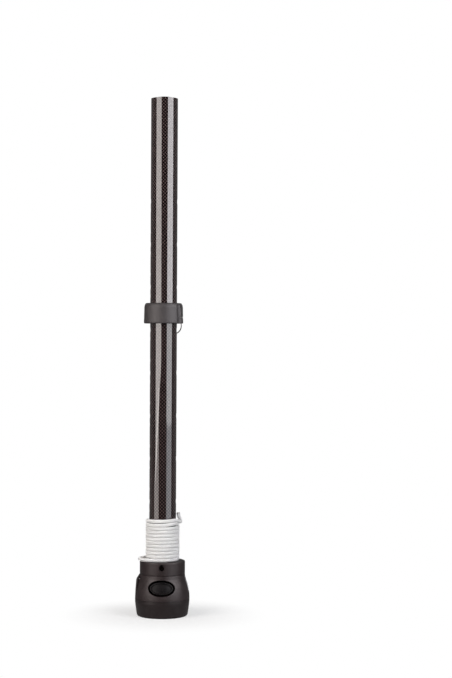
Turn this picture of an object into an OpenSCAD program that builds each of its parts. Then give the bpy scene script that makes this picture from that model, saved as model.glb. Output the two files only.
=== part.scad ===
// Mast extension for a windsurf rig: a carbon tube with a row of height holes, a sliding
// stop collar that a spring pin holds, and a moulded pulley base with a quick-release socket.
// Millimetres. +Z runs up the tube, the origin is the centre of the pin socket's mouth,
// the release button faces -Y and the rope cleat faces +X.

/* [Tube] */
// Outside diameter of the tube
tube_od = 31.8; // [28:0.1:36]
// Wall of the tube
tube_wall = 2.4; // [1.6:0.1:3]
// Height of the tube's top end above the base's underside
tube_top = 612.7; // [480:0.1:760]

/* [Height holes] */
// Distance between the collar's height holes
hole_pitch = 25.4; // [20:0.1:30]
// Number of height holes below the collar's stored place
holes_below = 9; // [4:1:9]
// Number of height holes above the collar's stored place
holes_above = 5; // [2:1:5]
// Play of the lock pin in a height hole, on the diameter
pin_play = 0.16; // [0.1:0.02:0.6]
// Diameter of the drain holes, which go through both walls
drain_d = 7.5; // [4:0.1:8]

/* [Pulley base] */
// Height of the base's rim
rim_z = 65; // [62:0.1:78]
// Wall of the neck around the tube
neck_wall = 10.9; // [10.4:0.1:13]
// Height of the bottom cap
cap_h = 20.2; // [17:0.1:24]
// Diameter of the base pin's socket
socket_d = 20.3; // [18:0.1:24.4]
// Wall of the metal bush around the socket
bush_wall = 3.85; // [2.5:0.05:4.6]
// Diameter of a rope sheave
sheave_d = 12.4; // [10.4:0.1:15]
// Width of a rope sheave
sheave_w = 5.2; // [4.6:0.1:6.2]
// Diameter of the sheaves' axle
axle_d = 5; // [4:0.1:6]
// Thickness of the guard behind the sheaves
guard_t = 2.7; // [2.4:0.1:4]

/* [Release button] */
// Width of the oval button
button_w = 26.8; // [23:0.1:32]
// Height of the oval button
button_h = 14.2; // [12:0.1:17]
// Travel of the button
button_travel = 4; // [3:0.1:4.8]
// Thickness of the lock plate
plate_t = 2.4; // [1.6:0.1:2.8]

/* [Collar] */
// Wall of the collar around the tube
collar_wall = 7.4; // [6.2:0.1:10]
// Height of the collar
collar_h = 24.2; // [20:0.1:34]
// Height of the stored collar's underside
collar_z = 346; // [337:0.1:347]
// Diameter of the lock pin
pin_d = 5.84; // [4.5:0.02:7]
// Diameter of the pull ring, between its wire's middles
ring_d = 20; // [16:0.1:24]

/* [Downhaul rope] */
// Diameter of the rope
rope_d = 4; // [3:0.1:4.8]
// Height of the rope's winding on the tube
winding_h = 49.4; // [30:0.1:60]

/* [Hidden] */
$fn = 96;

fit = 0.05;                                  // clearance of a running or sliding fit
press = 0.02;                                // clearance of a fit that doesn't move
gap = 0.3;                                   // clearance between pieces that only pass

tube_r = tube_od / 2;
bore_r = tube_r - tube_wall;
hole_r = (pin_d + pin_play) / 2;
plug_h = 14;                                 // depth of the end plug in the tube
insert_h = 15.5;                             // height of the insert in the tube's foot

neck_r = tube_r + neck_wall;
tube_bottom = rim_z - 17;                    // the tube stands this deep in the neck
shoulder_z = rim_z - 16;                     // where the neck meets the body
rim_edge = 1.2;                              // rounding of the rim
seam = 0.3;                                  // open line between the cap and the housing
bush_r = socket_d / 2 + bush_wall;
flange_r = bush_r + 2.5;                     // flange that the cap clamps
flange_z = 4;
cap_screw_r = 1.7;                           // shank of a cap screw
cap_screw_head = 3;
screw_ring = bush_r + 8.5;                   // radius of the cap screws' circle

button_z = 35.6;
button_rim = 2.5;                            // open groove around the button
plate_z = button_z - plate_t / 2 - 0.9;      // underside of the lock plate
plate_half = socket_d / 2 + 2.35;
plate_back = socket_d / 2 + 6.85;            // the plate's end behind the socket
plate_room = 0.15;
plate_hole_r = socket_d / 2 + 0.35;
plate_front = button_travel + plate_hole_r + 3.2;
bush_top = plate_z - plate_room;
well_in = bush_r + 1.9;                      // floor of the well that the button sinks into
button_back = well_in + button_travel + gap;
tongue_w = 16;                               // the plate's tongue, held in the button's back
tongue_in = 2.4;
spring_r = 2.8;
spring_wire_r = 0.4;
spring_room = 6.3;                           // length of the spring with the button pressed
spring_end = plate_back + button_travel + spring_room;
spring_z = plate_z + plate_t / 2;
tip_z = rim_z - 22;                          // roof over the base pin's tip

sheave_r = sheave_d / 2;
sheave_pitch = sheave_w + 0.2;
sheave_room = 1.6;                           // open space around the sheaves' rims
guard_foot = cap_h + 1.4;
axle_r = axle_d / 2;
axle_x = -(bush_r + sheave_room + sheave_r);
axle_z = guard_foot + 7.2 + sheave_r;        // the sheaves clear the guard's screws
axle_head = 1.2;                             // how far the axle's head stands out
bay_half = 1.5 * sheave_pitch + 0.4;
bay_wall = 5.6;                              // the axle reaches this far into each side
bay_floor = axle_z - sheave_r - 1.3;
bay_roof = rim_z - 18.5;
guard_in = -axle_x + sheave_r + sheave_room;
base_r = guard_in + guard_t;                 // the base is as wide as its sheaves need
guard_top = shoulder_z - 4.5;
guard_span = 19.6;                           // half angle of the guard
guard_seat_span = 21;                        // half angle of the guard's seat
guard_screw_y = 4.5;
guard_screw_z = guard_foot + 2.9;
guard_screw_r = 1.2;
guard_screw_head = 2.1;
mouth_in = tube_r + 3.9;
mouth_out = neck_r - 2.4;
mouth_span = 20;

cleat_in = neck_r - 7.6;
cleat_root = cleat_in + 3.2;                 // depth of the groove that grips the rope
cleat_half = 6.8;
cleat_top = shoulder_z - 3;
cleat_foot = cleat_top - 16.8;
cleat_screw_r = 1.2;
cleat_screw_head = 2.25;
cleat_screw_len = cleat_root - bush_r - 0.8;

rope_r = rope_d / 2;
knot_az = 130;
knot_at = neck_r - 5.2;                      // radius at which the rope goes down
knot_r = rope_r + 2.3;
knot_room = 0.5;
pocket_top = rim_z - 13.5;
pocket_h = 2 * knot_r + 1.4;
dive_r = 8;                                  // bend of the rope into its channel
channel_r = rope_r + 0.4;
tube_screw_z = rim_z - 6.3;
tube_screw_r = 2;
tube_screw_head = 2.6;
tube_screw_grip = 4;                         // how far the screw reaches past the bore
tube_screw_pocket = 4.45;                    // depth of the pocket for its head
tube_screw_room = 0.6;
tube_screw_notch_r = 1.6;                    // notch above the head, for levering it out
tube_screw_notch_rise = 3.4;

collar_r = tube_r + collar_wall;
collar_shoulder = 2.8;                       // the rounded shoulder's width and height
collar_shoulder_h = 6;
collar_draft = 0.4;                          // the collar narrows this much at its top
collar_bore = tube_r + 0.06;
pin_z = collar_z + 7.2;
wire_r = 0.8;
wire_at = collar_r - 1;
wire_start = 26;                             // the wire's free end, this far round to the front
wire_end = 184;                              // the wire ends here, just past the pin
wire_hook = 2.6;                             // the hook's azimuth, in from the wire's free end
pin_gap = gap;                               // the drawn pin's tip stands this clear of the tube
ring_az = 61;
ring_wire_r = 0.62;
ring_at = collar_r + 1.3;
ring_hinge_z = pin_z + 0.8;
tab_half = 1.3;

// Route of the rope from its knot to the winding: azimuth, radius, height
LEAD = [
    [130, 21.6, 50], [130, 21.6, 56], [130, 21.6, 59], [131.6, 21.6, 62],
    [136, 21.7, 64.6], [143, 22.2, 66.4], [150, 23, 67], [159, 24.6, 67], [168, 25.9, 67],
    [178, 26.5, 67], [188, 26.6, 67], [198, 26.2, 67], [208, 25, 67], [220, 22.9, 67],
    [232, 20.6, 67], [242, 19, 67], [250, 18.2, 67]
];
// Route of the rope's end above the winding: azimuth, radius, height
TAIL = [
    [334, 18.5, 113.2], [341, 19.4, 112.9], [348, 20.4, 111.9], [355, 21.3, 111.6],
    [361, 21.2, 112.9], [364, 20.2, 115.2], [365, 19.1, 117.9], [365, 18.6, 121]
];

// --- shared shapes ---------------------------------------------------------

// A point of a rope's route, from its azimuth, radius and height
function route_point(p) = [p[1] * cos(p[0]), p[1] * sin(p[0]), p[2]];
function unit(v) = v / norm(v);

// Direction of a line of points at point i
function heading(line, i) =
    unit(line[min(i + 1, len(line) - 1)] - line[max(i - 1, 0)]);

// A vector square to the line at point i, turned as little as possible from the last one
function carry(line, i) =
    i == 0
        ? unit(cross(heading(line, 0), [0.31, 0.17, 0.93]))
        : let (t = heading(line, i), n = carry(line, i - 1)) unit(n - (n * t) * t);

// A round tube of the given radius swept along a line of points
module swept(line, r, sides) {
    n = len(line);
    rings = [
        for (i = [0 : n - 1])
            let (t = heading(line, i), a = carry(line, i), b = cross(t, a))
                for (k = [0 : sides - 1])
                    line[i] + r * (cos(k * 360 / sides) * a + sin(k * 360 / sides) * b)
    ];
    walls = [
        for (i = [0 : n - 2])
            for (k = [0 : sides - 1])
                let (m = (k + 1) % sides)
                    [i * sides + k, (i + 1) * sides + k, (i + 1) * sides + m, i * sides + m]
    ];
    start = [[for (k = [0 : sides - 1]) k]];
    end = [[for (k = [sides - 1 : -1 : 0]) (n - 1) * sides + k]];
    polyhedron(rings, concat(walls, start, end), convexity = 10);
}

// An ellipse with straight sides short enough to look round
module oval(w, h) {
    polygon([for (a = [0 : 7.5 : 352.5]) [w / 2 * cos(a), h / 2 * sin(a)]]);
}

// A solid ring sector of a height, between two radii, about an azimuth
module sector(r_in, r_out, z, h, az, half) {
    translate([0, 0, z])
        rotate([0, 0, az - half])
            rotate_extrude(angle = 2 * half)
                translate([r_in, 0])
                    square([r_out - r_in, h]);
}

// A cylinder that points outwards from the tube's axis at an azimuth
module radial(az, z, r, from, to) {
    rotate([0, 0, az])
        translate([from, 0, z])
            rotate([0, 90, 0])
                cylinder(r = r, h = to - from);
}

// A countersunk screw along +Z with its head's face at the origin, and its drive socket
module flat_screw(head_r, shank_r, length, drive_r) {
    difference() {
        union() {
            cylinder(r1 = head_r, r2 = shank_r, h = head_r - shank_r);
            cylinder(r = shank_r, h = length);
        }
        translate([0, 0, -1])
            cylinder(r = drive_r, h = 1 + 0.6 * (head_r - shank_r) + 0.6, $fn = 6);
    }
}

// The hole that a countersunk screw sits in
module flat_hole(head_r, shank_r, length) {
    translate([0, 0, -6])
        cylinder(r = head_r + 0.1, h = 6);
    cylinder(r1 = head_r + 0.1, r2 = shank_r + fit, h = head_r - shank_r + 0.1);
    cylinder(r = shank_r + fit, h = length + 0.5);
}

// A height in the body, as a share of the way from the cap to the shoulder
function body_z(share) = cap_h + share * (shoulder_z - cap_h);

// A radius of the body, as a share of the way from its widest to the neck
function body_r(share) = base_r - share * (base_r - neck_r);

// Half of the outline of the base above the cap: radius against height
function body_line(inset) = [
    [body_r(0) - inset, cap_h + seam],
    [body_r(0.01) - inset, body_z(0.105)],
    [body_r(0.064) - inset, body_z(0.243)],
    [body_r(0.155) - inset, body_z(0.382)],
    [body_r(0.29) - inset, body_z(0.521)],
    [body_r(0.473) - inset, body_z(0.642)],
    [body_r(0.673) - inset, body_z(0.764)],
    [body_r(0.827) - inset, body_z(0.885)],
    [body_r(0.873) - inset, shoulder_z - 0.7],
    [body_r(0.945) - inset, shoulder_z],
    [neck_r - 0.45 - inset, shoulder_z + 0.35],
    [neck_r - 0.45 - inset, shoulder_z + 0.85],
    [neck_r - inset, shoulder_z + 1.3]
];

module body_solid(inset) {
    rotate_extrude()
        polygon(concat(
            [[0, cap_h + seam]],
            body_line(inset),
            [
                [neck_r - inset, rim_z - rim_edge],
                [neck_r - inset - 0.35, rim_z - 0.35],
                [neck_r - inset - rim_edge, rim_z],
                [0, rim_z]
            ]
        ));
}

// --- tube ------------------------------------------------------------------

module tube_holes() {
    for (k = [-holes_below : holes_above])
        radial(180, pin_z + k * hole_pitch, hole_r, bore_r - 3, tube_r + 2);
    for (n = [-4 : 3])
        translate([-tube_r - 2, 0, pin_z - 0.586 * hole_pitch + 2 * n * hole_pitch])
            rotate([0, 90, 0])
                cylinder(r = drain_d / 2, h = tube_od + 4);
}

module carbon_tube() {
    color("#2a2628")
        difference() {
            translate([0, 0, tube_bottom])
                cylinder(r = tube_r, h = tube_top - tube_bottom);
            translate([0, 0, tube_bottom - 1])
                cylinder(r = bore_r, h = tube_top - tube_bottom + 2);
            tube_holes();
            for (az = [90, 270])
                radial(az, tube_screw_z, tube_screw_r + fit, bore_r - 2, tube_r + 2);
        }
}

module end_plug() {
    plug_r = bore_r - press;
    color("#3c3a3c")
        translate([0, 0, tube_top])
            rotate_extrude()
                polygon([
                    [0, -plug_h], [plug_r - 1.2, -plug_h], [plug_r, -plug_h + 2],
                    [plug_r, 0], [plug_r - 0.5, 0.35], [plug_r - 2.4, 0.9],
                    [plug_r - 5, 1.5], [plug_r - 8.4, 2], [0, 2.3]
                ]);
}

module tube_insert() {
    color("#5a5858")
        difference() {
            translate([0, 0, tube_bottom])
                cylinder(r = bore_r - press, h = insert_h);
            for (az = [90, 270])
                radial(
                    az, tube_screw_z, tube_screw_r + press,
                    bore_r - tube_screw_grip - 1, bore_r + 1
                );
        }
}

module tube_screws() {
    head_h = 2.4;
    sunk = 2;
    color("#3a3838")
        for (az = [90, 270])
            rotate([0, 0, az])
                translate([neck_r - sunk, 0, tube_screw_z])
                    rotate([0, -90, 0])
                        difference() {
                            union() {
                                cylinder(r = tube_screw_head, h = head_h);
                                cylinder(
                                    r = tube_screw_r,
                                    h = neck_r - sunk - bore_r + tube_screw_grip
                                );
                            }
                            translate([0, 0, -1])
                                cylinder(r = 1.45, h = 2.6, $fn = 6);
                        }
}

// --- pulley base -----------------------------------------------------------

// Everything that is cut out of the housing for the rope: sheave bay, rope mouth,
// guard seat, knot pocket and the curved channel that the rope dives into
module rope_ways() {
    bay_out = base_r + 2;
    bay_in = bush_r + 1.25;
    translate([-bay_out, -bay_half, bay_floor])
        cube([bay_out - bay_in, 2 * bay_half, bay_roof - bay_floor]);
    sector(mouth_in, mouth_out, bay_roof - 1, rim_z - bay_roof + 3, 180, mouth_span);
    sector(
        guard_in - 0.12, base_r + 4, guard_foot - gap,
        guard_top - guard_foot + 8, 180, guard_seat_span
    );
    sector(
        neck_r + 0.1, base_r + 4, guard_top, shoulder_z - guard_top + 1,
        180, guard_seat_span
    );
    rotate([0, 0, knot_az])
        translate([knot_at, 0, 0])
            knot_ways();
}

// The pocket for the stopper knot, and the rope's bent channel from it to the rim
module knot_ways() {
    pocket_r = knot_r + knot_room;
    bend_z = rim_z + rope_r - dive_r;
    translate([0, 0, pocket_top - pocket_h])
        cylinder(r = pocket_r, h = pocket_h);
    translate([0, -pocket_r, pocket_top - pocket_h])
        cube([neck_r, 2 * pocket_r, pocket_h]);
    translate([0, 0, pocket_top - 1])
        cylinder(r = channel_r, h = bend_z - pocket_top + 1.02);
    rotate([0, 0, 90])
        translate([dive_r, 0, bend_z])
            rotate([90, 0, 0])
                rotate([0, 0, 90])
                    rotate_extrude(angle = 90)
                        translate([dive_r, 0])
                            circle(r = channel_r, $fn = 48);
}

// Everything that is cut out of the housing for the button, the plate and its spring
module release_ways() {
    translate([0, -well_in, button_z])
        rotate([90, 0, 0])
            linear_extrude(base_r)
                oval(button_w + 2 * button_rim, button_h + 2 * button_rim);
    translate([-plate_half - gap, -plate_front - gap, plate_z - plate_room])
        cube([
            2 * (plate_half + gap),
            plate_front + plate_back + button_travel + 2 * gap,
            plate_t + 2 * plate_room
        ]);
    translate([0, plate_back - 0.4, spring_z])
        rotate([-90, 0, 0])
            cylinder(r = spring_r + 0.4, h = spring_end - plate_back + 0.4);
}

// The axle's hole, and the wider hole for its head and clip on the +Y side
module axle_way() {
    reach = bay_half + bay_wall;
    translate([axle_x, 0, axle_z])
        rotate([90, 0, 0]) {
            translate([0, 0, -reach - 1])
                cylinder(r = axle_r + press, h = 2 * reach + 1 + 0.1);
            translate([0, 0, -base_r - 8])
                cylinder(r = axle_r + axle_head + gap, h = base_r + 8 - reach);
        }
}

module base_housing() {
    color("#322c2d")
        difference() {
            body_solid(0);
            translate([0, 0, tube_bottom])
                cylinder(r = tube_r + press, h = 40);
            translate([0, 0, -1])
                cylinder(r = bush_r + press, h = bush_top + 1);
            translate([0, 0, bush_top - 1])
                cylinder(r = socket_d / 2 + 0.25, h = tip_z - bush_top + 1);
            rope_ways();
            release_ways();
            axle_way();
            translate([cleat_in, -cleat_half - 0.1, cleat_foot - 0.1])
                cube([20, 2 * cleat_half + 0.2, shoulder_z - cleat_foot + 1.1]);
            for (z = cleat_screw_heights())
                radial(0, z, cleat_screw_r + 0.1, cleat_root - cleat_screw_len - gap, cleat_in + 1);
            for (az = [90, 270]) {
                radial(az, tube_screw_z, tube_screw_r + fit, tube_r - 1, neck_r + 1);
                radial(
                    az, tube_screw_z, tube_screw_head + tube_screw_room,
                    neck_r - tube_screw_pocket, neck_r + 3
                );
                radial(
                    az, tube_screw_z + tube_screw_notch_rise, tube_screw_notch_r,
                    neck_r - tube_screw_pocket, neck_r + 3
                );
            }
            for (az = [90, 210, 330])
                rotate([0, 0, az])
                    translate([screw_ring, 0, 0])
                        cylinder(r = cap_screw_r + fit, h = cap_h + 6.5);
            for (y = [-guard_screw_y, guard_screw_y])
                translate([-base_r, y, guard_screw_z])
                    rotate([0, 90, 0])
                        cylinder(r = guard_screw_r + fit, h = 9);
        }
}

module bottom_cap() {
    lip = 4.6;
    floor_h = 4;
    boss_r = 3.6;
    color("#2e292a")
        difference() {
            union() {
                difference() {
                    rotate_extrude()
                        polygon([
                            [bush_r + fit, 0], [base_r - 4.2, 0], [base_r - 3, 0.45],
                            [base_r - 2.3, 1.3], [base_r - 2, 2.4],
                            [base_r - 1.5, 0.277 * cap_h], [base_r - 0.95, 0.47 * cap_h],
                            [base_r - 0.4, 0.668 * cap_h], [base_r - 0.05, 0.842 * cap_h],
                            [base_r, cap_h], [bush_r + fit, cap_h]
                        ]);
                    sector(bush_r + 4.2, base_r - lip, floor_h, cap_h, 0, 180);
                    translate([0, 0, floor_h])
                        cylinder(r = flange_r + 0.1, h = cap_h);
                }
                for (az = [90, 210, 330])
                    rotate([0, 0, az])
                        translate([screw_ring, 0, 2])
                            cylinder(r = boss_r, h = cap_h - 2);
            }
            for (az = [90, 210, 330])
                rotate([0, 0, az])
                    translate([screw_ring, 0, 0.4])
                        flat_hole(cap_screw_head, cap_screw_r, cap_h);
        }
}

module cap_screws() {
    color("#b8b8ba")
        for (az = [90, 210, 330])
            rotate([0, 0, az])
                translate([screw_ring, 0, 0.4])
                    flat_screw(cap_screw_head, cap_screw_r, cap_h + 5, 1.2);
}

module pin_bush() {
    color("#8f8d8c")
        difference() {
            union() {
                cylinder(r = bush_r, h = bush_top);
                translate([0, 0, flange_z + press])
                    cylinder(r = flange_r, h = cap_h + seam - flange_z - fit);
            }
            translate([0, 0, -1])
                cylinder(r = socket_d / 2, h = bush_top + 2);
        }
}

module lock_plate() {
    color("#c2c2c4")
        translate([0, 0, plate_z])
            difference() {
                union() {
                    translate([-plate_half, -plate_front, 0])
                        cube([2 * plate_half, plate_front + plate_back, plate_t]);
                    translate([-tongue_w / 2, -button_back - tongue_in, 0])
                        cube([tongue_w, button_back + tongue_in - plate_front + 1, plate_t]);
                }
                translate([0, -button_travel, -1])
                    cylinder(r = plate_hole_r, h = plate_t + 2);
            }
}

module release_button() {
    lip = 1.1;
    lip_h = 1.5;
    dish = 41;
    dish_depth = 1.6;
    color("#2b2627")
        difference() {
            intersection() {
                translate([0, -button_back, button_z])
                    rotate([90, 0, 0])
                        linear_extrude(base_r)
                            oval(button_w, button_h);
                body_solid(0.6);
            }
            difference() {
                translate([0, -button_back - 4, button_z])
                    rotate([90, 0, 0])
                        linear_extrude(base_r)
                            oval(button_w - 2 * lip, button_h - 2 * lip);
                body_solid(0.6 + lip_h);
            }
            translate([0, -base_r - dish + lip_h + dish_depth, button_z])
                sphere(r = dish, $fn = 128);
            translate([-tongue_w / 2 - fit, -button_back - tongue_in - fit, plate_z - fit])
                cube([tongue_w + 2 * fit, tongue_in + fit + 1, plate_t + 2 * fit]);
        }
}

module button_spring() {
    turns = 5;
    steps = 12;
    length = spring_end - plate_back - 2 * spring_wire_r - 0.2;
    color("#c8c8ca")
        translate([0, plate_back + spring_wire_r + 0.1, spring_z])
            swept(
                [
                    for (i = [0 : turns * steps])
                        [
                            (spring_r - spring_wire_r) * cos(i * 360 / steps),
                            length * i / (turns * steps),
                            (spring_r - spring_wire_r) * sin(i * 360 / steps)
                        ]
                ],
                spring_wire_r,
                6
            );
}

module sheave(place) {
    groove = 1.5;
    flank = 0.7;
    half = sheave_w / 2;
    hub_r = sheave_r - groove;
    color("#d8d6d2")
        translate([axle_x, place * sheave_pitch, axle_z])
            rotate([90, 0, 0])
                rotate_extrude()
                    polygon([
                        [axle_r + fit, -half], [sheave_r, -half],
                        [sheave_r, -half + flank], [hub_r + 0.3, -0.42 * half],
                        [hub_r, -0.15 * half], [hub_r, 0.15 * half],
                        [hub_r + 0.3, 0.42 * half], [sheave_r, half - flank],
                        [sheave_r, half], [axle_r + fit, half]
                    ]);
}

module sheave_front() { sheave(-1); }
module sheave_middle() { sheave(0); }
module sheave_rear() { sheave(1); }

module pulley_axle() {
    reach = bay_half + bay_wall;
    color("#bdbdbf")
        translate([axle_x, 0, axle_z])
            rotate([90, 0, 0]) {
                translate([0, 0, -reach - 1])
                    cylinder(r = axle_r, h = 2 * reach + 1);
                translate([0, 0, -reach - 2.7])
                    cylinder(r = axle_r + axle_head, h = 2.6);
            }
}

module axle_clip() {
    color("#9a9a9c")
        translate([axle_x, bay_half + bay_wall + 2.85, axle_z])
            rotate([-90, 0, 0])
                difference() {
                    cylinder(r = axle_r + axle_head + gap - press, h = 1);
                    translate([0, 0, -1])
                        cylinder(r = axle_r - 0.4, h = 3);
                    translate([-1.4, 0, -1])
                        cube([2.8, axle_r + axle_head + 2, 3]);
                }
}

module sheave_guard() {
    tall = guard_top - guard_foot;
    lip = shoulder_z - guard_top;
    color("#302a2b")
        difference() {
            rotate([0, 0, 180 - guard_span])
                rotate_extrude(angle = 2 * guard_span)
                    polygon([
                        [guard_in, guard_foot], [base_r - 0.1, guard_foot],
                        [base_r - 0.2, guard_foot + 0.157 * tall],
                        [base_r - 0.45, guard_foot + 0.419 * tall],
                        [base_r - 0.95, guard_foot + 0.703 * tall],
                        [base_r - 1.3, guard_top - 2.2], [base_r - 2.1, guard_top],
                        [body_r(0.6), guard_top + 0.4 * lip], [body_r(0.87), shoulder_z - 0.4],
                        [neck_r + gap, shoulder_z - 0.2], [neck_r + gap, guard_top + 0.3],
                        [guard_in, guard_top + 0.3]
                    ]);
            guard_screw_places()
                flat_hole(guard_screw_head, guard_screw_r, 8);
        }
}

module guard_screw_places() {
    for (y = [-guard_screw_y, guard_screw_y])
        translate([-sqrt(pow(base_r - 0.35, 2) - y * y), y, guard_screw_z])
            rotate([0, 90, 0])
                children();
}

module guard_screws() {
    color("#b8b8ba")
        guard_screw_places()
            flat_screw(guard_screw_head, guard_screw_r, 7.6, 0.9);
}

function cleat_screw_heights() = [cleat_foot + 2.9, cleat_top - 2.9];

module rope_cleat() {
    mouth = 4.2;
    root = 1.5;
    teeth = 6;
    pitch = 1.15;
    bite = 17;                               // half angle of the groove's walls
    slope = 28;                              // the teeth rise this steeply outwards
    color("#a9abae")
        difference() {
            intersection() {
                translate([cleat_in + press, -cleat_half, cleat_foot])
                    cube([20, 2 * cleat_half, cleat_top - cleat_foot]);
                body_solid(0.15);
            }
            translate([0, 0, cleat_foot - 1])
                linear_extrude(cleat_top - cleat_foot + 2)
                    polygon([
                        [cleat_root, -root], [base_r + 1, -mouth],
                        [base_r + 1, mouth], [cleat_root, root]
                    ]);
            for (i = [0 : teeth - 1])
                translate([cleat_root + 0.8, 0, cleat_foot + 4.9 + i * pitch])
                    rotate([0, -slope, 0])
                        for (side = [-1, 1])
                            translate([0, side * (root + 0.85), 0])
                                rotate([0, 0, side * bite])
                                    translate([0, -0.8, 0])
                                        cube([6.2, 1.6, 0.55]);
            for (z = cleat_screw_heights())
                radial(0, z, cleat_screw_r + fit, cleat_in - 1, base_r + 2);
            for (z = cleat_screw_heights())
                radial(0, z, cleat_screw_head + 0.1, cleat_root - 0.9, base_r + 2);
        }
}

module cleat_screws() {
    color("#b8b8ba")
        for (z = cleat_screw_heights())
            translate([cleat_root, 0, z])
                rotate([0, -90, 0])
                    difference() {
                        union() {
                            translate([0, 0, -0.88])
                                cylinder(r = cleat_screw_head, h = 1.3);
                            cylinder(r = cleat_screw_r, h = cleat_screw_len);
                        }
                        translate([0, 0, -2])
                            cylinder(r = 0.9, h = 2, $fn = 6);
                    }
}

// --- stop collar -----------------------------------------------------------

module stop_collar() {
    top = collar_z + collar_h;
    groove = wire_r + 0.1;
    scallop_r = 9;
    from = -wire_start - 1.5;
    to = wire_end + 3;
    color("#484446")
        difference() {
            rotate_extrude()
                polygon(concat(
                    [
                        [collar_bore + 0.5, collar_z], [collar_r - 1, collar_z],
                        [collar_r - 0.3, collar_z + 0.3], [collar_r, collar_z + 1],
                        [collar_r, collar_z + 2],
                        [collar_r - collar_draft, top - collar_shoulder_h - 1]
                    ],
                    [
                        for (a = [0 : 15 : 90])
                            [
                                collar_r - collar_draft - collar_shoulder * (1 - cos(a)),
                                top - collar_shoulder_h * (1 - sin(a))
                            ]
                    ],
                    [
                        [collar_bore + 0.5, top], [collar_bore, top - 0.5],
                        [collar_bore, collar_z + 0.5]
                    ]
                ));
            sector(
                wire_at - groove, collar_r + 2, pin_z - groove - 0.1,
                2 * groove + 0.2, (from + to) / 2, (to - from) / 2
            );
            radial(180, pin_z, pin_d / 2 + fit, collar_bore - 1, collar_r + 2);
            radial(-wire_start + wire_hook, pin_z, wire_r - 0.1, wire_at - 3.4, collar_r + 1);
            rotate([0, 0, ring_az])
                translate([wire_at - 1.7, -tab_half - 0.4, pin_z - 1.9])
                    cube([8, 2 * tab_half + 0.8, 4.6]);
            rotate([0, 0, 327])
                translate([collar_r + scallop_r - 1.5, 0, collar_z - 2])
                    rotate([6, 0, 0])
                        cylinder(r = scallop_r, h = collar_h + 6);
        }
}

module lock_pin() {
    tip = tube_r + pin_gap;
    tail = wire_at - wire_r - 0.2;
    chamfer = 0.6;
    color("#c4c4c6")
        rotate([0, 0, 180])
            translate([tail, 0, pin_z])
                rotate([0, -90, 0])
                    union() {
                        cylinder(r = pin_d / 2, h = tail - tip - chamfer);
                        translate([0, 0, tail - tip - chamfer])
                            cylinder(r1 = pin_d / 2, r2 = pin_d / 2 - chamfer, h = chamfer);
                    }
}

module spring_wire() {
    color("#d0d0d2") {
        translate([0, 0, pin_z])
            rotate([0, 0, -wire_start])
                rotate_extrude(angle = wire_end + wire_start)
                    translate([wire_at, 0])
                        circle(r = wire_r, $fn = 32);
        radial(-wire_start + wire_hook, pin_z, wire_r - 0.15, wire_at - 3.2, wire_at);
    }
}

module ring_tab() {
    color("#c8c8ca")
        rotate([0, 0, ring_az])
            difference() {
                translate([wire_at - 1.3, -tab_half, pin_z - 1.4])
                    cube([ring_at - wire_at + 2.9, 2 * tab_half, 3.7]);
                translate([wire_at, 4, pin_z])
                    rotate([90, 0, 0])
                        cylinder(r = wire_r + 0.06, h = 8);
                translate([ring_at, 4, ring_hinge_z])
                    rotate([90, 0, 0])
                        cylinder(r = ring_wire_r + 0.33, h = 8);
            }
}

module pull_ring() {
    color("#b6b6b8")
        rotate([0, 0, ring_az])
            translate([ring_at, 0, ring_hinge_z - ring_d / 2])
                rotate([0, 90, 0])
                    rotate_extrude()
                        translate([ring_d / 2, 0])
                            circle(r = ring_wire_r, $fn = 32);
}

// --- downhaul rope ---------------------------------------------------------

module rope_winding() {
    color("#ebe6e3")
        translate([0, 0, rim_z + fit])
            rotate_extrude()
                translate([tube_r + fit, 0])
                    square([rope_d, winding_h]);
}

module rope_lead() {
    color("#ebe6e3")
        swept([for (p = LEAD) route_point(p)], rope_r, 10);
}

module rope_tail() {
    color("#ebe6e3")
        swept([for (p = TAIL) route_point(p)], rope_r, 10);
}

module stopper_knot() {
    color("#e2dcd8")
        rotate([0, 0, knot_az])
            translate([knot_at, 0, pocket_top - knot_r - 0.2])
                sphere(r = knot_r);
}

carbon_tube();
end_plug();
tube_insert();
base_housing();
bottom_cap();
cap_screws();
pin_bush();
tube_screws();
lock_plate();
release_button();
button_spring();
sheave_front();
sheave_middle();
sheave_rear();
pulley_axle();
axle_clip();
sheave_guard();
guard_screws();
rope_cleat();
cleat_screws();
stop_collar();
lock_pin();
spring_wire();
ring_tab();
pull_ring();
rope_winding();
rope_lead();
rope_tail();
stopper_knot();
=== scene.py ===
import math

import bmesh
import bpy
from mathutils import Matrix, Vector


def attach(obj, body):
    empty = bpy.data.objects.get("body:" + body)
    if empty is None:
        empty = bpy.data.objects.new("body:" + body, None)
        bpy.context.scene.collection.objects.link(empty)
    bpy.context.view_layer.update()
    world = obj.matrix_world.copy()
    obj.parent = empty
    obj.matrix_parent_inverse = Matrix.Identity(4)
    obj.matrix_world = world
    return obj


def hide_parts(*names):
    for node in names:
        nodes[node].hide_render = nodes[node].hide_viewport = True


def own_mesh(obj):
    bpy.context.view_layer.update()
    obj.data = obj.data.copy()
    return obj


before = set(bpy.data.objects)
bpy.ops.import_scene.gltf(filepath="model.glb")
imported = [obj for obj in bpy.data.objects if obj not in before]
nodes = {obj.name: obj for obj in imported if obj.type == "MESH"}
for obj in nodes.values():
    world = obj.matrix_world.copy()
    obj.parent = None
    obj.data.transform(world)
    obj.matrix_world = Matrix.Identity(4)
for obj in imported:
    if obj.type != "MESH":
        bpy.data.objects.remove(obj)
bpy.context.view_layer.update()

# --- The studio -------------------------------------------------------------
# The extension stands on a white table. The camera is level with the middle of
# the tube, nearly two metres away, and turned a little about its own axis.
CAMERA_AWAY = 1.9
CAMERA_SIDE = 0.0742
CAMERA_HEIGHT = 0.328
CAMERA_ROLL = math.radians(0.27)
camera_data = bpy.data.cameras.new("camera")
camera_data.lens = 85
camera_data.sensor_width = 36
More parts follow.
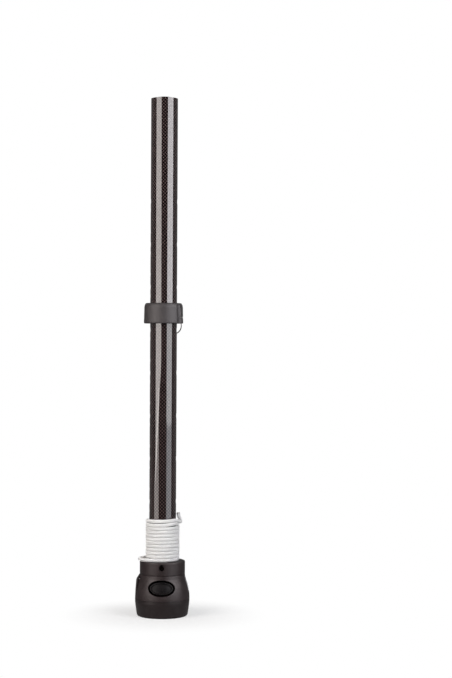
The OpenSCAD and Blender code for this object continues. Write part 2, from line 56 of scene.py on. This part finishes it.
camera = bpy.data.objects.new("camera", camera_data)
camera.location = (CAMERA_SIDE, -CAMERA_AWAY, CAMERA_HEIGHT)
camera.rotation_euler = (math.pi / 2, -CAMERA_ROLL, 0)
bpy.context.scene.collection.objects.link(camera)
bpy.context.scene.camera = camera
bpy.context.scene.view_settings.view_transform = "Standard"

# --- The downhaul rope ------------------------------------------------------
# Braided polyester, a little over four millimetres thick. It is knotted under the rim, runs over the
# rim, is wound eleven times round the tube and ends in a heat-sealed tip.
ROPE_R = 0.00205
LEAD = [
    (130, 21.6, 50), (130, 21.6, 56), (130, 21.6, 59), (131.6, 21.6, 62),
    (136, 21.7, 64.6), (143, 22.2, 66.4), (150, 23, 67), (159, 24.6, 67), (168, 25.9, 67),
    (178, 26.5, 67), (188, 26.6, 67), (198, 26.2, 67), (208, 25, 67), (220, 22.9, 67),
    (232, 20.6, 67), (242, 19, 67),
]
TAIL = [
    (341, 19.4, 112.9), (348, 20.4, 111.9), (355, 21.3, 111.6), (361, 21.2, 112.9),
    (364, 20.2, 115.2), (365, 19.1, 117.9), (365, 18.6, 121),
]
TURNS = 11 + 84 / 360
WOUND_R = 17.98
FIRST_Z = 67
PITCH = 4.12


def rope_place(azimuth, radius, height):
    """A point of the rope from its azimuth in degrees and its sizes in millimetres."""
    a = math.radians(azimuth)
    return Vector((radius * math.cos(a), radius * math.sin(a), height)) / 1000


def ease(value, low, high):
    """0 below low, 1 above high and smooth between them."""
    t = min(1, max(0, (value - low) / (high - low)))
    return t * t * (3 - 2 * t)


def wound_point(turn):
    """A point of the winding, which climbs mostly behind the tube. The last turns sit looser."""
    whole = math.floor(turn)
    climb = whole + 0.35 * (turn - whole) + 0.65 * ease(turn - whole, 0.3, 1)
    lifted = 1.15 * ease(turn, 10.06, 10.2)
    settled = 0.6 * (ease(turn, 11.06, 11.2) - ease(turn, 10.4, 10.8))
    waver = 0.05 * math.sin(turn * 17.3) + 0.04 * math.sin(turn * 41.7 + 1.3)
    swell = 0.5 * ease(turn, 11.1, 11.23) + 0.1 * math.sin(turn * 11.9) ** 2
    return rope_place(250 + 360 * turn, WOUND_R + swell, FIRST_Z + PITCH * climb + lifted + settled + waver)


def smooth_line(points, step):
    """The points joined by a Catmull-Rom curve, with new points about step apart."""
    line = []
    for i in range(len(points) - 1):
        p0, p1 = points[max(i - 1, 0)], points[i]
        p2, p3 = points[i + 1], points[min(i + 2, len(points) - 1)]
        n = max(1, round((p2 - p1).length / step))
        for k in range(n):
            t = k / n
            line.append(0.5 * (
                2 * p1 + (p2 - p0) * t
                + (2 * p0 - 5 * p1 + 4 * p2 - p3) * t * t
                + (3 * p1 - p0 - 3 * p2 + p3) * t * t * t
            ))
    line.append(points[-1])
    return line


def swept_tube(name, line, radius, sides, squareness=None):
    """A tube along a line. Its UV map runs round it in U and along it in V, in radii.

    Squareness gives a point's section: 2 is round, more is pressed flat top and bottom."""
    mesh = bmesh.new()
    uv = mesh.loops.layers.uv.new("UVMap")
    normal = (line[1] - line[0]).orthogonal().normalized()
    rings = []
    along = [0.0]
    for i, point in enumerate(line):
        ahead = (line[min(i + 1, len(line) - 1)] - line[max(i - 1, 0)]).normalized()
        normal = (normal - ahead * normal.dot(ahead)).normalized()
        across = ahead.cross(normal)
        power = squareness(point) if squareness else 2
        ring = []
        for k in range(sides):
            a = 2 * math.pi * k / sides
            out = math.cos(a) * normal + math.sin(a) * across
            level = math.sqrt(max(0, 1 - out.z * out.z))
            reach = (level ** power + abs(out.z) ** power) ** (-1 / power)
            ring.append(mesh.verts.new(point + radius * reach * out))
        rings.append(ring)
        if i:
            along.append(along[-1] + (point - line[i - 1]).length)
    for i in range(len(rings) - 1):
        for k in range(sides):
            n = (k + 1) % sides
            face = mesh.faces.new((rings[i][k], rings[i][n], rings[i + 1][n], rings[i + 1][k]))
            face.smooth = True
            places = ((k, i), (k + 1, i), (k + 1, i + 1), (k, i + 1))
            for loop, (u, v) in zip(face.loops, places):
                loop[uv].uv = (u / sides, along[v] / (2 * math.pi * radius))
    for ring, turn in ((rings[0], -1), (rings[-1], 1)):
        mesh.faces.new(ring[::-turn] if turn == -1 else ring)
    bmesh.ops.recalc_face_normals(mesh, faces=mesh.faces)
    data = bpy.data.meshes.new(name)
    mesh.to_mesh(data)
    mesh.free()
    piece = bpy.data.objects.new(name, data)
    bpy.context.scene.collection.objects.link(piece)
    return piece


def new_material(name):
    """A material of one Principled shader. Returns it, its node tree and the shader."""
    material = bpy.data.materials.new(name)
    material.use_nodes = True
    tree = material.node_tree
    return material, tree, tree.nodes["Principled BSDF"]


def math_node(tree, operation, first, second=None, third=None, clamp=False):
    """A Math node whose inputs are sockets or numbers. Returns its output."""
    node = tree.nodes.new("ShaderNodeMath")
    node.operation = operation
    node.use_clamp = clamp
    for socket, value in zip(node.inputs, (first, second, third)):
        if value is None:
            continue
        if isinstance(value, (int, float)):
            socket.default_value = value
        else:
            tree.links.new(value, socket)
    return node.outputs[0]


def mix_colour(tree, factor, first, second):
    """A Mix node of two colours, each a socket or an RGB triple. Returns its output."""
    node = tree.nodes.new("ShaderNodeMix")
    node.data_type = "RGBA"
    if isinstance(factor, (int, float)):
        node.inputs["Factor"].default_value = factor
    else:
        tree.links.new(factor, node.inputs["Factor"])
    for socket, value in ((node.inputs[6], first), (node.inputs[7], second)):
        if isinstance(value, tuple):
            socket.default_value = (*value, 1)
        else:
            tree.links.new(value, socket)
    return node.outputs[2]


def bump(tree, shader, height, distance, strength=1.0, edge=0.0):
    """A Bump node from a height in 0 to 1 to the shader's normal, over rounded edges."""
    node = tree.nodes.new("ShaderNodeBump")
    node.inputs["Distance"].default_value = distance
    node.inputs["Strength"].default_value = strength
    tree.links.new(height, node.inputs["Height"])
    if edge:
        rounded = tree.nodes.new("ShaderNodeBevel")
        rounded.samples = 6
        rounded.inputs["Radius"].default_value = edge
        tree.links.new(rounded.outputs["Normal"], node.inputs["Normal"])
    tree.links.new(node.outputs["Normal"], shader.inputs["Normal"])
    return node


def noise(tree, vector, scale, detail=2.0, roughness=0.5):
    """A Noise texture's value, from 0 to 1."""
    node = tree.nodes.new("ShaderNodeTexNoise")
    node.inputs["Scale"].default_value = scale
    node.inputs["Detail"].default_value = detail
    node.inputs["Roughness"].default_value = roughness
    if vector is not None:
        tree.links.new(vector, node.inputs["Vector"])
    return node.outputs["Fac"]


def rope_braid():
    """A woven cover of sixteen strands that cross over two and under two, with painted shade in the valleys
    between strands.
    """
    material, tree, shader = new_material("braided_polyester")
    place = tree.nodes.new("ShaderNodeTexCoord")
    split = tree.nodes.new("ShaderNodeSeparateXYZ")
    tree.links.new(place.outputs["UV"], split.inputs[0])
    strands = 8
    right = math_node(tree, "MULTIPLY_ADD", split.outputs[0], strands, 0.0)
    up = math_node(tree, "MULTIPLY", split.outputs[1], strands * 0.8)
    one = math_node(tree, "ADD", right, up)
    other = math_node(tree, "SUBTRACT", right, up)

    def ridge(value):
        part = math_node(tree, "FRACT", value)
        centred = math_node(tree, "MULTIPLY_ADD", part, 2, -1)
        square = math_node(tree, "MULTIPLY", centred, centred)
        return math_node(tree, "SUBTRACT", 1, square)

    def whole(value):
        return math_node(tree, "FLOOR", value)

    over = math_node(tree, "ADD", whole(one), whole(other))
    over = math_node(tree, "MODULO", math_node(tree, "ABSOLUTE", over), 2)
    over = math_node(tree, "GREATER_THAN", over, 0.5)
    first, second = ridge(one), ridge(other)
    upper = math_node(tree, "MULTIPLY", first, over)
    lower = math_node(tree, "MULTIPLY", second, math_node(tree, "SUBTRACT", 1, over))
    height = math_node(tree, "ADD", upper, lower)
    # Painted shade: the valleys between strands are darkened towards grey, where shade would fall.
    valley = math_node(tree, "SUBTRACT", 1, height, clamp=True)
    painted_valley_shade = math_node(tree, "POWER", valley, 3.0)
    fuzz = noise(tree, place.outputs["Object"], 900, 3, 0.6)
    soiled = noise(tree, place.outputs["Object"], 60, 2, 0.5)
    white = mix_colour(tree, soiled, (0.95, 0.94, 0.93), (0.92, 0.908, 0.897))
    # The painted valley shade is mixed into the rope's white here.
    colour = mix_colour(tree, math_node(tree, "MULTIPLY", painted_valley_shade, 0.6), white, (0.55, 0.53, 0.51))
    tree.links.new(colour, shader.inputs["Base Color"])
    shader.inputs["Roughness"].default_value = 0.62
    shader.inputs["Sheen Weight"].default_value = 0.35
    shader.inputs["Sheen Roughness"].default_value = 0.4
    shader.inputs["Subsurface Weight"].default_value = 1.0
    shader.inputs["Subsurface Radius"].default_value = (1, 1, 1)
    shader.inputs["Subsurface Scale"].default_value = 0.0045
    full = math_node(tree, "MULTIPLY_ADD", fuzz, 0.35, height)
    bump(tree, shader, full, 0.00022, 0.8)
    return material


steps = 52
wound = [wound_point(i / steps) for i in range(1, int(TURNS * steps))]
lead_line = smooth_line([rope_place(*p) for p in LEAD] + [wound[0]], 0.0014)
tail_line = smooth_line([wound[-1]] + [rope_place(*p) for p in TAIL], 0.0012)
rope_line = lead_line[:-1] + wound[:-1] + tail_line


def pressed(point):
    """How square the rope's section is: only turns that lie between two others are pressed."""
    close = 1 - ease(math.hypot(point.x, point.y), 0.0185, 0.0195)
    return 2 + 1.3 * close * ease(point.z, 0.0668, 0.068) * (1 - ease(point.z, 0.1105, 0.113))


rope = swept_tube("downhaul_rope", rope_line, ROPE_R, 24, pressed)
rope.data.materials.append(rope_braid())
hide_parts("rope_winding", "rope_lead", "rope_tail")
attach(rope, "extension")

KNOT_PLACE = rope_place(130, 21.6, 47)
KNOT_SIZE = 0.00083
knot_line = []
for i in range(97):
    t = 2 * math.pi * i / 96
    knot_line.append(KNOT_PLACE + KNOT_SIZE * Vector((
        math.sin(t) + 2 * math.sin(2 * t),
        1.35 * math.sin(3 * t),
        math.cos(t) - 2 * math.cos(2 * t),
    )))
knot = swept_tube("stopper_knot_tied", knot_line, 0.00155, 16)
knot.data.materials.append(rope.data.materials[0])
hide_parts("stopper_knot")
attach(knot, "extension")


def sealed_tip(name, place, ahead, radius):
    """The melted end of a rope: a low bead with an uneven edge."""
    mesh = bmesh.new()
    bmesh.ops.create_uvsphere(mesh, u_segments=24, v_segments=12, radius=1)
    for vert in mesh.verts:
        uneven = 1 + 0.05 * math.sin(3 * math.atan2(vert.co.y, vert.co.x) + 1)
        wide = radius * uneven
        vert.co = Vector((vert.co.x * wide, vert.co.y * wide, vert.co.z * radius * 0.45))
    turn = Vector((0, 0, 1)).rotation_difference(ahead).to_matrix().to_4x4()
    bmesh.ops.transform(mesh, matrix=Matrix.Translation(place) @ turn, verts=mesh.verts)
    for face in mesh.faces:
        face.smooth = True
    data = bpy.data.meshes.new(name)
    mesh.to_mesh(data)
    mesh.free()
    piece = bpy.data.objects.new(name, data)
    bpy.context.scene.collection.objects.link(piece)
    return piece


melted, melted_tree, melted_shader = new_material("melted_polyester")
melted_place = melted_tree.nodes.new("ShaderNodeTexCoord")
melted_spots = noise(melted_tree, melted_place.outputs["Object"], 1400, 3, 0.6)
melted_tree.links.new(
    mix_colour(melted_tree, melted_spots, (0.8, 0.77, 0.72), (0.6, 0.56, 0.5)),
    melted_shader.inputs["Base Color"],
)
melted_shader.inputs["Roughness"].default_value = 0.28
bump(melted_tree, melted_shader, melted_spots, 0.0001, 0.6)
tip = sealed_tip("rope_tip", rope_line[-1], (rope_line[-1] - rope_line[-2]).normalized(), ROPE_R * 1.04)
tip.data.materials.append(melted)
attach(tip, "extension")

# --- The carbon tube --------------------------------------------------------
# Two-millimetre carbon tows in a plain weave, wrapped on a mandrel, cured and
# ground, then given a thick clear coat. The height holes are drilled last.
TOW = 0.002
TUBE_R = 0.0159


def wrapped_place(tree, radius):
    """Distance round the tube's axis, and height, in metres, as two sockets."""
    place = tree.nodes.new("ShaderNodeTexCoord")
    split = tree.nodes.new("ShaderNodeSeparateXYZ")
    tree.links.new(place.outputs["Object"], split.inputs[0])
    angle = math_node(tree, "ARCTAN2", split.outputs[1], split.outputs[0])
    return math_node(tree, "MULTIPLY", angle, radius), split.outputs[2]


def carbon_weave():
    """Plain weave: across tows and along tows take turns on top, each crowned in the middle. The hoop tows
    carry a painted sheen, lightest on their crowns.
    """
    material, tree, shader = new_material("woven_carbon")
    around, height = wrapped_place(tree, TUBE_R)
    across = math_node(tree, "DIVIDE", around, 2 * math.pi * TUBE_R / 50)
    along = math_node(tree, "DIVIDE", height, TOW)
    place = tree.nodes.new("ShaderNodeTexCoord")
    sway = noise(tree, place.outputs["Object"], 55, 2, 0.5)
    across = math_node(tree, "MULTIPLY_ADD", sway, 0.3, across)
    along = math_node(tree, "MULTIPLY_ADD", sway, -0.3, along)

    def crown(value):
        centred = math_node(tree, "MULTIPLY_ADD", math_node(tree, "FRACT", value), 2, -1)
        return math_node(tree, "SUBTRACT", 1, math_node(tree, "MULTIPLY", centred, centred))

    whole = math_node(tree, "ADD", math_node(tree, "FLOOR", across), math_node(tree, "FLOOR", along))
    odd = math_node(tree, "MODULO", math_node(tree, "ABSOLUTE", whole), 2)
    hoop_top = math_node(tree, "GREATER_THAN", odd, 0.5)
    hoop = math_node(tree, "MULTIPLY", crown(across), math_node(tree, "POWER", crown(along), 0.4))
    axial = math_node(tree, "MULTIPLY", crown(along), math_node(tree, "POWER", crown(across), 0.4))
    top = tree.nodes.new("ShaderNodeMix")
    tree.links.new(hoop_top, top.inputs["Factor"])
    tree.links.new(axial, top.inputs[2])
    tree.links.new(hoop, top.inputs[3])
    fibre_scale = tree.nodes.new("ShaderNodeCombineXYZ")
    tree.links.new(math_node(tree, "MULTIPLY", around, 9000), fibre_scale.inputs[0])
    tree.links.new(math_node(tree, "MULTIPLY", height, 500), fibre_scale.inputs[1])
    axial_fibres = noise(tree, fibre_scale.outputs[0], 1, 2, 0.6)
    hoop_scale = tree.nodes.new("ShaderNodeCombineXYZ")
    tree.links.new(math_node(tree, "MULTIPLY", around, 500), hoop_scale.inputs[0])
    tree.links.new(math_node(tree, "MULTIPLY", height, 9000), hoop_scale.inputs[1])
    hoop_fibres = noise(tree, hoop_scale.outputs[0], 1, 2, 0.6)
    # Painted sheen: the hoop tows are coloured far lighter than the axial ones, standing in for light their
    # fibres reflect.
    axial_colour = mix_colour(tree, axial_fibres, (0.003, 0.0011, 0.0012), (0.009, 0.0042, 0.0046))
    hoop_sheen_colour = mix_colour(tree, hoop_fibres, (0.055, 0.036, 0.035), (0.14, 0.096, 0.094))
    fibre_tone_and_sheen = mix_colour(tree, hoop_top, axial_colour, hoop_sheen_colour)
    # Painted sheen and shade: each tow is lightest on its crown and darkens to near black at its edges.
    painted_weave_sheen = mix_colour(tree, top.outputs[0], (0.004, 0.003, 0.003), fibre_tone_and_sheen)
    tree.links.new(painted_weave_sheen, shader.inputs["Base Color"])
    shader.inputs["Roughness"].default_value = 0.38
    shader.inputs["Specular IOR Level"].default_value = 0.0
    shader.inputs["Coat Weight"].default_value = 1.0
    shader.inputs["Coat Roughness"].default_value = 0.045
    shader.inputs["Coat IOR"].default_value = 1.55
    bump(tree, shader, top.outputs[0], 0.00012, 0.7)
    return material


def finish_node(name, material):
    """Gives a CAD node one material."""
    node = nodes[name]
    node.data.materials.clear()
    node.data.materials.append(material)


finish_node("carbon_tube", carbon_weave())

# --- The end plug and the insert ---------------------------------------------
# A soft black plug is pressed into the tube's top end to keep water out, and a
# turned nylon insert is glued in its bottom end for the neck screws to bite in.


def mould_grain_group():
    """Shared by the moulded pieces: fine grain and slow mottling, out as values."""
    group = bpy.data.node_groups.new("mould_grain", "ShaderNodeTree")
    for name, default in (("Grain", 1500.0), ("Mottle", 70.0)):
        socket = group.interface.new_socket(name, in_out="INPUT", socket_type="NodeSocketFloat")
        socket.default_value = default
    for name in ("Height", "Cloud"):
        group.interface.new_socket(name, in_out="OUTPUT", socket_type="NodeSocketFloat")
    entry = group.nodes.new("NodeGroupInput")
    exit_node = group.nodes.new("NodeGroupOutput")
    place = group.nodes.new("ShaderNodeTexCoord")
    grain = group.nodes.new("ShaderNodeTexNoise")
    grain.inputs["Detail"].default_value = 3
    cloud = group.nodes.new("ShaderNodeTexNoise")
    cloud.inputs["Detail"].default_value = 4
    for texture, source in ((grain, "Grain"), (cloud, "Mottle")):
        group.links.new(place.outputs["Object"], texture.inputs["Vector"])
        group.links.new(entry.outputs[source], texture.inputs["Scale"])
    group.links.new(grain.outputs["Fac"], exit_node.inputs["Height"])
    group.links.new(cloud.outputs["Fac"], exit_node.inputs["Cloud"])
    return group


mould_grain = mould_grain_group()


def moulded(name, low, high, rough, grain=1500.0, mottle=70.0, depth=0.00006, shine=0.3, edge=0.0004):
    """A moulded plastic: colour and roughness wander between two values over a fine grain."""
    material, tree, shader = new_material(name)
    surface = tree.nodes.new("ShaderNodeGroup")
    surface.node_tree = mould_grain
    surface.inputs["Grain"].default_value = grain
    surface.inputs["Mottle"].default_value = mottle
    cloud = surface.outputs["Cloud"]
    tree.links.new(mix_colour(tree, cloud, low, high), shader.inputs["Base Color"])
    spread = math_node(tree, "MULTIPLY_ADD", cloud, rough[1] - rough[0], rough[0])
    tree.links.new(spread, shader.inputs["Roughness"])
    shader.inputs["Specular IOR Level"].default_value = shine
    bump(tree, shader, surface.outputs["Height"], depth, 0.5, edge)
    return material


finish_node("end_plug", moulded("plug_rubber", (0.014, 0.013, 0.0135), (0.022, 0.021, 0.0215), (0.5, 0.65)))
finish_node("tube_insert", moulded("insert_nylon", (0.06, 0.058, 0.056), (0.1, 0.097, 0.094), (0.45, 0.6)))

# --- The base housing and its cap ----------------------------------------------
# Moulded in glass-filled nylon, nearly black, with a soft uneven sheen. The cap
# closes the housing from below with three screws, and two hold the neck to the tube.
housing_nylon = moulded(
    "housing_nylon", (0.0125, 0.0078, 0.0078), (0.026, 0.0175, 0.018), (0.3, 0.56),
    mottle=110.0, depth=0.00016, shine=0.23,
)
finish_node("base_housing", housing_nylon)
finish_node("bottom_cap", moulded(
    "cap_nylon", (0.0095, 0.0058, 0.006), (0.0155, 0.0104, 0.0108), (0.3, 0.5),
    mottle=110.0, depth=0.00008, shine=0.24,
))


def metal(name, colour, rough, grain, stretch=(1, 1, 1), depth=0.00002):
    """Bare metal with fine machining lines that run square to the stretched axis."""
    material, tree, shader = new_material(name)
    place = tree.nodes.new("ShaderNodeTexCoord")
    mapping = tree.nodes.new("ShaderNodeMapping")
    mapping.inputs["Scale"].default_value = stretch
    tree.links.new(place.outputs["Object"], mapping.inputs["Vector"])
    lines = noise(tree, mapping.outputs[0], grain, 3, 0.6)
    dark = tuple(0.8 * c for c in colour)
    tree.links.new(mix_colour(tree, lines, dark, colour), shader.inputs["Base Color"])
    tree.links.new(math_node(tree, "MULTIPLY_ADD", lines, 0.2, rough - 0.1), shader.inputs["Roughness"])
    shader.inputs["Metallic"].default_value = 1.0
    bump(tree, shader, lines, depth, 0.4, 0.00015)
    return material


steel = metal("stainless_steel", (0.6, 0.59, 0.58), 0.28, 400, (1, 1, 6))
finish_node("cap_screws", steel)
blackened = metal("blackened_screw", (0.008, 0.006, 0.006), 0.55, 400)
blackened.node_tree.nodes["Principled BSDF"].inputs["Specular IOR Level"].default_value = 0.1
finish_node("tube_screws", blackened)

# --- The pin socket and its release button ---------------------------------------
# A turned bush takes the mast foot's pin and a stamped steel plate locks it. The
# dished oval button, moulded in black plastic, pushes the plate back.
finish_node("pin_bush", metal("turned_bush", (0.45, 0.43, 0.41), 0.32, 300, (1, 1, 10)))
finish_node("lock_plate", steel)
finish_node("release_button", moulded(
    "button_plastic", (0.0012, 0.0008, 0.001), (0.0045, 0.0034, 0.004), (0.34, 0.6),
    mottle=300.0, shine=0.09,
))

# The spring pushes the lock plate back. One turn at each end is closed, and
# four open turns between them shorten when the button is pressed.
SPRING_FROM = 0.01751
SPRING_TO = 0.02677
SPRING_Z = 0.0347
SPRING_R = 0.0024
SPRING_WIRE = 0.0004
SPRING_TURNS = 6
SPRING_STEPS = 40
CLOSED = 2 * SPRING_WIRE
open_turns = SPRING_TURNS - 2
open_pitch = (SPRING_TO - SPRING_FROM - 2 * CLOSED) / open_turns
coil = []
for i in range(SPRING_STEPS * SPRING_TURNS + 1):
    turn = i / SPRING_STEPS
    opened = min(max(turn - 1, 0), open_turns)
    along_y = SPRING_FROM + CLOSED * (turn - opened) + open_pitch * opened
    a = 2 * math.pi * turn
    coil.append(Vector((SPRING_R * math.cos(a), along_y, SPRING_Z + SPRING_R * math.sin(a))))
spring = swept_tube("button_spring_coil", coil, SPRING_WIRE, 12)
spring.data.materials.append(steel)
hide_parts("button_spring")
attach(spring, "extension")
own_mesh(spring)

# --- The pulley and its guard ------------------------------------------------------
# Three pale acetal sheaves turn side by side on one steel axle held by a clip.
# A moulded guard closes the bay outside them, with two screws.
sheave_acetal = moulded("sheave_acetal", (0.55, 0.53, 0.5), (0.68, 0.66, 0.62), (0.35, 0.5), edge=0.0002)
for name in ("sheave_front", "sheave_middle", "sheave_rear"):
    finish_node(name, sheave_acetal)
for name in ("pulley_axle", "axle_clip", "guard_screws"):
    finish_node(name, steel)
finish_node("sheave_guard", housing_nylon)

# --- The rope cleat ----------------------------------------------------------------
# Machined from aluminium, with slanted teeth that grip the rope in a narrowing
# groove. Two screws hold it in a recess of the housing.
finish_node("rope_cleat", metal("machined_aluminium", (0.7, 0.7, 0.71), 0.3, 300, (1, 8, 1)))
finish_node("cleat_screws", steel)

# --- The stop collar and its lock pin ------------------------------------------------
# The collar is moulded in a softer dark grey plastic, so that it doesn't mark the
# mast's end. A wire spring holds its steel pin in, and a ring pulls the pin out.
finish_node("stop_collar", moulded(
    "collar_plastic", (0.017, 0.0138, 0.0145), (0.031, 0.0262, 0.0272), (0.5, 0.64),
    mottle=160.0, depth=0.00015, shine=0.36, edge=0.0009,
))
for name in ("lock_pin", "spring_wire", "ring_tab"):
    finish_node(name, steel)
finish_node("pull_ring", metal("darkened_steel", (0.14, 0.13, 0.13), 0.35, 400))

# --- The table and the lights -------------------------------------------------
table_mesh = bpy.data.meshes.new("table")
sheet = bmesh.new()
bmesh.ops.create_grid(sheet, x_segments=1, y_segments=1, size=0.55)
sheet.to_mesh(table_mesh)
sheet.free()
table = bpy.data.objects.new("table", table_mesh)
bpy.context.scene.collection.objects.link(table)
table_material, table_tree, table_shader = new_material("white_table")
table_shader.inputs["Base Color"].default_value = (0.95, 0.95, 0.95, 1)
table_shader.inputs["Roughness"].default_value = 0.9
spot = table_tree.nodes.new("ShaderNodeTexCoord")
reach = table_tree.nodes.new("ShaderNodeVectorMath")
reach.operation = "LENGTH"
table_tree.links.new(spot.outputs["Object"], reach.inputs[0])
fade = table_tree.nodes.new("ShaderNodeMapRange")
fade.interpolation_type = "SMOOTHSTEP"
fade.inputs["From Min"].default_value = 0.036
fade.inputs["From Max"].default_value = 0.13
fade.inputs["To Min"].default_value = 0.55
table_tree.links.new(reach.outputs["Value"], fade.inputs["Value"])
lit = table_tree.nodes.new("ShaderNodeEmission")
lit.inputs["Color"].default_value = (1, 1, 1, 1)
seen_floor = table_tree.nodes.new("ShaderNodeLightPath")
lit_level = table_tree.nodes.new("ShaderNodeMix")
lit_level.inputs[2].default_value = 0.2
lit_level.inputs[3].default_value = 1.0
table_tree.links.new(seen_floor.outputs["Is Camera Ray"], lit_level.inputs["Factor"])
table_tree.links.new(lit_level.outputs[0], lit.inputs["Strength"])
sweep = table_tree.nodes.new("ShaderNodeMixShader")
table_tree.links.new(fade.outputs["Result"], sweep.inputs[0])
table_tree.links.new(table_shader.outputs[0], sweep.inputs[1])
table_tree.links.new(lit.outputs[0], sweep.inputs[2])
ending = next(n for n in table_tree.nodes if n.type == "OUTPUT_MATERIAL")
table_tree.links.new(sweep.outputs[0], ending.inputs["Surface"])
table.data.materials.append(table_material)

world = bpy.data.worlds.new("studio")
bpy.context.scene.world = world
world.use_nodes = True
air = world.node_tree
sky = air.nodes["Background"]
direction = air.nodes.new("ShaderNodeTexCoord")
axes = air.nodes.new("ShaderNodeSeparateXYZ")
air.links.new(direction.outputs["Generated"], axes.inputs[0])
behind = air.nodes.new("ShaderNodeMapRange")
behind.interpolation_type = "SMOOTHSTEP"
behind.inputs["From Min"].default_value = -0.55
behind.inputs["From Max"].default_value = 0.35
behind.inputs["To Min"].default_value = 0.035
behind.inputs["To Max"].default_value = 0.22
air.links.new(axes.outputs[1], behind.inputs["Value"])
seen = air.nodes.new("ShaderNodeLightPath")
level = air.nodes.new("ShaderNodeMix")
level.inputs[3].default_value = 1.0
air.links.new(seen.outputs["Is Camera Ray"], level.inputs["Factor"])
air.links.new(behind.outputs["Result"], level.inputs[2])
air.links.new(level.outputs[0], sky.inputs["Strength"])
sky.inputs["Color"].default_value = (1, 1, 1, 1)


def softbox(name, azimuth, away, width, low, high, power, colour, mirrored, roll=0.0):
    """An area light that faces the tube from an azimuth measured from the camera's side."""
    a = math.radians(azimuth)
    data = bpy.data.lights.new(name, "AREA")
    data.shape = "RECTANGLE"
    data.size = width
    data.size_y = high - low
    data.energy = power
    data.color = colour
    light = bpy.data.objects.new(name, data)
    light.location = (away * math.sin(a), -away * math.cos(a), (low + high) / 2)
    light.rotation_euler = (math.pi / 2, math.radians(roll), a)
    light.visible_camera = False
    light.visible_glossy = mirrored
    light.visible_diffuse = not mirrored
    bpy.context.scene.collection.objects.link(light)


softbox("left_box", -47, 1.5, 1.26, 0.13, 1.7, 46, (1.0, 0.94, 0.91), True, -12)
softbox("left_box_low", -53, 1.5, 1.1, -0.6, 0.13, 10, (1.0, 0.93, 0.9), True, -12)
softbox("right_box_high", 58, 1.5, 1.45, 0.39, 1.9, 64, (1.0, 0.975, 1.0), True)
softbox("right_box_middle", 55, 1.5, 1.35, 0.144, 0.39, 6.3, (0.98, 0.98, 1.0), True)
softbox("right_box_low", 56, 1.5, 1.3, -0.6, 0.144, 10.5, (0.93, 0.95, 1.0), True)
softbox("left_fill", -50, 1.6, 1.0, 0.2, 1.8, 32, (1.0, 0.96, 0.93), False)
softbox("right_fill", 50, 1.6, 1.0, 0.2, 1.8, 27, (0.96, 0.97, 1.0), False)
